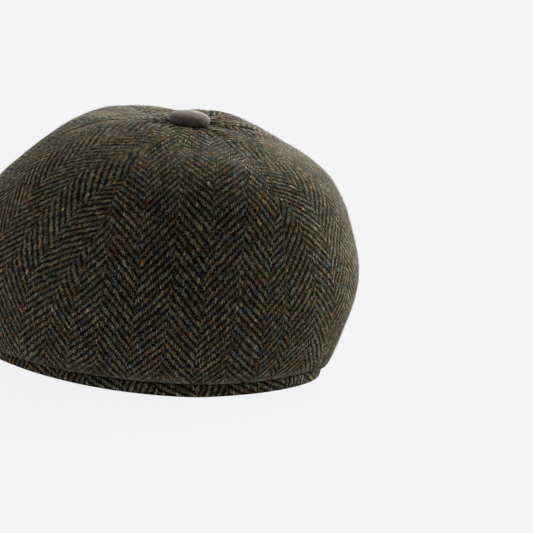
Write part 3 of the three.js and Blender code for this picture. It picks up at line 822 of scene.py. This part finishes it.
def suede_material():
    material = bpy.data.materials.new("button_suede")
    material.use_nodes = True
    tree = material.node_tree
    tree.nodes.clear()
    g = Nodes(tree)
    place = g.add("ShaderNodeTexCoord").outputs["Object"]
    nap = g.noise(place, 1500, 3.0, 0.75)
    cloud = g.noise(place, 260, 3.0, 0.55)
    tone = g.math("ADD", g.math("MULTIPLY", nap.outputs[0], 0.45), g.math("MULTIPLY", cloud.outputs[0], 0.55))
    colour = g.ramp(tone, [(0.32, linear(39, 35, 31)), (0.5, linear(65, 59, 52)), (0.68, linear(90, 82, 73))])
    bump = g.add("ShaderNodeBump", {"Strength": 0.35, "Distance": 0.00012, "Height": nap.outputs[0]})
    shader = g.add("ShaderNodeBsdfPrincipled", {
        "Base Color": colour, "Roughness": 0.9, "Specular IOR Level": 0.1, "Sheen Weight": 0.05, "Sheen Roughness": 0.3,
        "Sheen Tint": (0.85, 0.82, 0.78, 1.0), "Normal": bump.outputs[0]})
    g.add("ShaderNodeOutputMaterial", {"Surface": shader.outputs[0]})
    return material


tweed = tweed_material("tweed_crown", gored=True)
tweed_band = tweed_material("tweed_band")
tweed_peak = tweed_material("tweed_peak")
suede = suede_material()
for piece in gores.values():
    piece.data.materials.append(tweed)
band_piece.data.materials.append(tweed_band)
peak_piece.data.materials.append(tweed_peak)
button_piece.data.materials.append(suede)

# ------------------------------------------------------------------ floor, light, camera
floor_mesh = bpy.data.meshes.new("floor")
floor_mesh.from_pydata([(-40, -40, 0), (40, -40, 0), (40, 40, 0), (-40, 40, 0)], [], [(0, 1, 2, 3)])
floor = bpy.data.objects.new("floor", floor_mesh)
bpy.context.scene.collection.objects.link(floor)
paper = bpy.data.materials.new("paper")
paper.use_nodes = True
paper.node_tree.nodes.clear()
g = Nodes(paper.node_tree)
glow = g.add("ShaderNodeEmission", {"Color": (0.983, 0.983, 1.0, 1.0), "Strength": 0.885})
matt = g.add("ShaderNodeBsdfDiffuse", {"Color": (0.012, 0.012, 0.012, 1.0)})
both = g.add("ShaderNodeAddShader", {0: glow.outputs[0], 1: matt.outputs[0]})
g.add("ShaderNodeOutputMaterial", {"Surface": both.outputs[0]})
floor_mesh.materials.append(paper)

BACK_X, BACK_Y = -0.88, -0.475
world = bpy.data.worlds.new("studio")
bpy.context.scene.world = world
world.use_nodes = True
g = Nodes(world.node_tree)
backdrop = world.node_tree.nodes["Background"]
# the studio is white behind and above the cap and dim on the camera's side
facing = g.add("ShaderNodeSeparateXYZ", {0: g.add("ShaderNodeTexCoord").outputs["Generated"]})
behind = g.math("ADD", g.math("MULTIPLY", facing.outputs[0], BACK_X), g.math("MULTIPLY", facing.outputs[1], BACK_Y))
behind = g.math("ADD", g.math("MULTIPLY", behind, 0.5), 0.5, clamp=True)
level = g.math("ADD", g.math("MULTIPLY", g.math("POWER", behind, 9.0), 40.0), 0.175)
level = g.math("ADD", level, g.math("MULTIPLY", g.math("MAXIMUM", facing.outputs[2], 0.0), 0.1))
g.put(backdrop.inputs["Color"], (1.0, 0.995, 0.975, 1.0))
g.put(backdrop.inputs["Strength"], level)


def softbox(name, place, aim, size, power, colour=(1, 1, 1)):
    light = bpy.data.lights.new(name, "AREA")
    light.shape = "RECTANGLE"
    light.size, light.size_y = size
    light.energy = power
    light.color = colour
    obj = bpy.data.objects.new(name, light)
    bpy.context.scene.collection.objects.link(obj)
    obj.location = place
    obj.rotation_euler = (Vector(aim) - Vector(place)).to_track_quat("-Z", "Y").to_euler()
    return obj


softbox("side_box", (1.25, -1.25, 0.8), (0, 0.0, 0.08), (1.0, 1.0), 30)

# plain camera response, as a shop photograph has
bpy.context.scene.view_settings.view_transform = "Standard"

VIEW_TURN = math.radians(180 - 31.56)
VIEW_RISE = math.radians(8.66)
VIEW_DISTANCE = 1.300
PIXELS_PER_MM = 2.0234
RIM_AT = (140.62, 338.60)
rim_centre = Vector((to_rest(np.zeros(3)) / 1000).tolist())
away = Vector((math.sin(VIEW_TURN) * math.cos(VIEW_RISE), -math.cos(VIEW_TURN) * math.cos(VIEW_RISE), math.sin(VIEW_RISE)))
camera_place = rim_centre + away * VIEW_DISTANCE
focal_px = PIXELS_PER_MM * 1000 * VIEW_DISTANCE
look = -away
right = look.cross(Vector((0, 0, 1))).normalized()
up = right.cross(look)
look = (look + right * ((266.5 - RIM_AT[0]) / focal_px) + up * ((RIM_AT[1] - 266.5) / focal_px)).normalized()
camera_data = bpy.data.cameras.new("camera")
camera_data.sensor_width = 36
camera_data.lens = focal_px / 533 * 36
camera_data.clip_end = 200
camera = bpy.data.objects.new("camera", camera_data)
bpy.context.scene.collection.objects.link(camera)
camera.location = camera_place
camera.rotation_euler = look.to_track_quat("-Z", "Y").to_euler()
bpy.context.scene.camera = camera
